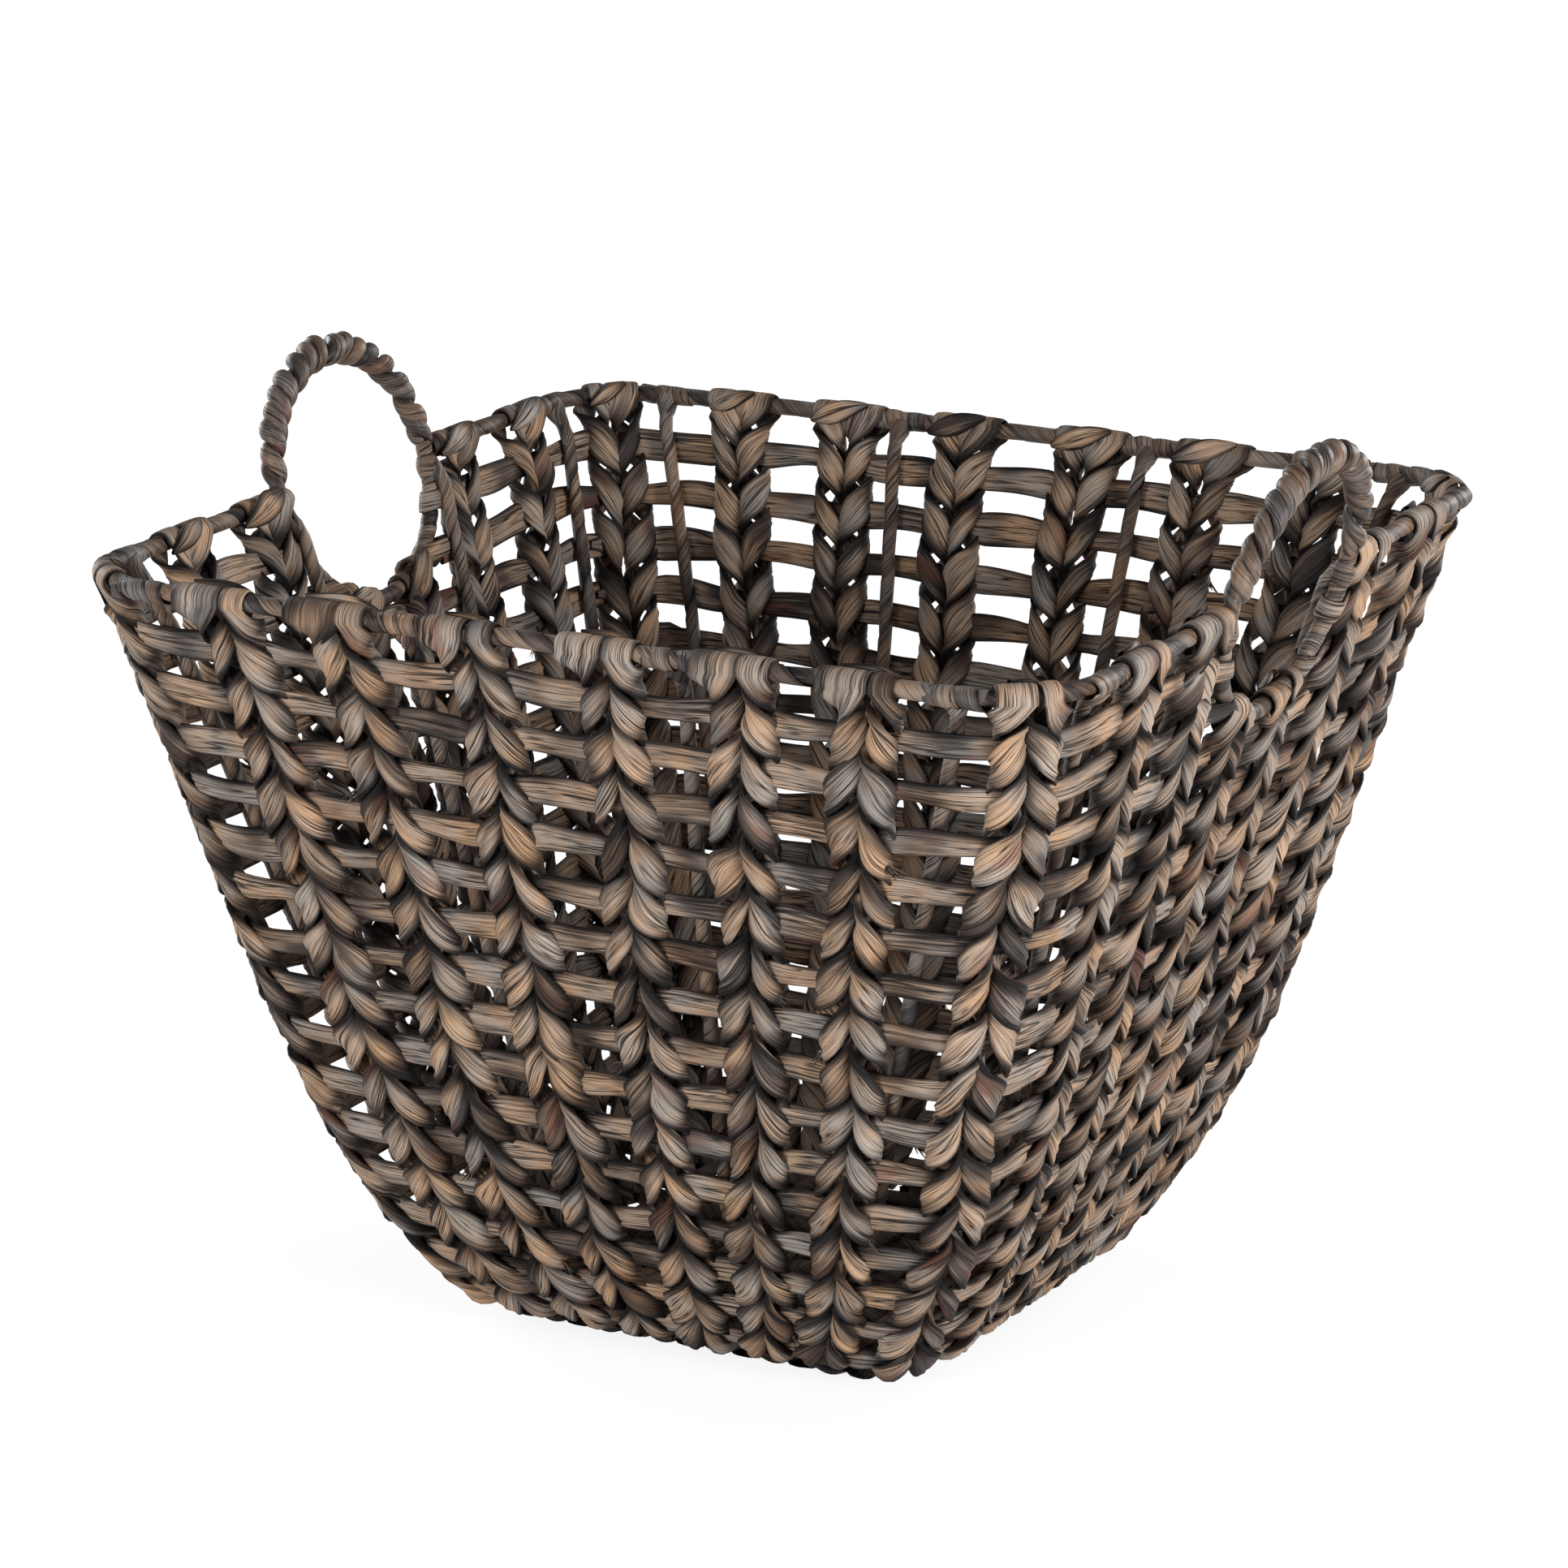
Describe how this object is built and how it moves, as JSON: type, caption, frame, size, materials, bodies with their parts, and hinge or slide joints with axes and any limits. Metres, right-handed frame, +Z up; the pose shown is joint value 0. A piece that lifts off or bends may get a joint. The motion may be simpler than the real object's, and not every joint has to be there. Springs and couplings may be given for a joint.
{
  "type": "storage basket",
  "caption": "Open square storage basket that narrows to its base, plaited from water hyacinth on a wire frame, with a wound ring handle on two opposite sides.",
  "frame": {"origin": "centre of the base, on the ground", "axes": "+Z up, +X from one handle to the other, -Y towards the side seen at the left of the handle in the picture"},
  "size_m": [0.4808, 0.4394, 0.3883],
  "materials": {
    "hyacinth_plait": "matt dried plant stem, grey-brown, streaked along its length",
    "hyacinth_strip": "matt flat dried plant stem, grey-brown",
    "hyacinth_mat": "matt dried plant stem, dark grey-brown",
    "wrapped_wire": "steel wire wrapped with a thin strip of dried plant stem, low sheen",
    "handle_strand": "thick wound strand of dried plant stem, low sheen"
  },
  "bodies": {
    "root": {"base_mat": "hyacinth_mat", "handle_ring_left": "wrapped_wire", "handle_ring_right": "wrapped_wire", "handle_winding_left": "handle_strand", "handle_winding_right": "handle_strand", "plait_back_1": "hyacinth_plait", "plait_back_2": "hyacinth_plait", "plait_back_3": "hyacinth_plait", "plait_back_4": "hyacinth_plait", "plait_back_5": "hyacinth_plait", "plait_back_6": "hyacinth_plait", "plait_corner_back_left": "hyacinth_plait", "plait_corner_back_right": "hyacinth_plait", "plait_corner_front_left": "hyacinth_plait", "plait_corner_front_right": "hyacinth_plait", "plait_front_1": "hyacinth_plait", "plait_front_2": "hyacinth_plait", "plait_front_3": "hyacinth_plait", "plait_front_4": "hyacinth_plait", "plait_front_5": "hyacinth_plait", "plait_front_6": "hyacinth_plait", "plait_left_1": "hyacinth_plait", "plait_left_2": "hyacinth_plait", "plait_left_3": "hyacinth_plait", "plait_left_4": "hyacinth_plait", "plait_left_5": "hyacinth_plait", "plait_left_6": "hyacinth_plait", "plait_right_1": "hyacinth_plait", "plait_right_2": "hyacinth_plait", "plait_right_3": "hyacinth_plait", "plait_right_4": "hyacinth_plait", "plait_right_5": "hyacinth_plait", "plait_right_6": "hyacinth_plait", "rim_wire_back": "wrapped_wire", "rim_wire_front": "wrapped_wire", "row_01_back": "hyacinth_strip", "row_01_front": "hyacinth_strip", "row_02_back": "hyacinth_strip", "row_02_front": "hyacinth_strip", "row_03": "hyacinth_strip", "row_04": "hyacinth_strip", "row_05": "hyacinth_strip", "row_06": "hyacinth_strip", "row_07": "hyacinth_strip", "row_08": "hyacinth_strip", "row_09": "hyacinth_strip", "row_10": "hyacinth_strip", "row_11": "hyacinth_strip", "row_12": "hyacinth_strip", "row_13": "hyacinth_strip", "row_14": "hyacinth_strip", "row_15": "hyacinth_strip", "upright_front_to_back_1": "wrapped_wire", "upright_front_to_back_2": "wrapped_wire", "upright_front_to_back_3": "wrapped_wire", "upright_front_to_back_4": "wrapped_wire", "upright_left_to_right_1": "wrapped_wire", "upright_left_to_right_2": "wrapped_wire", "upright_left_to_right_3": "wrapped_wire", "upright_left_to_right_4": "wrapped_wire"}
  },
  "joints": []
}
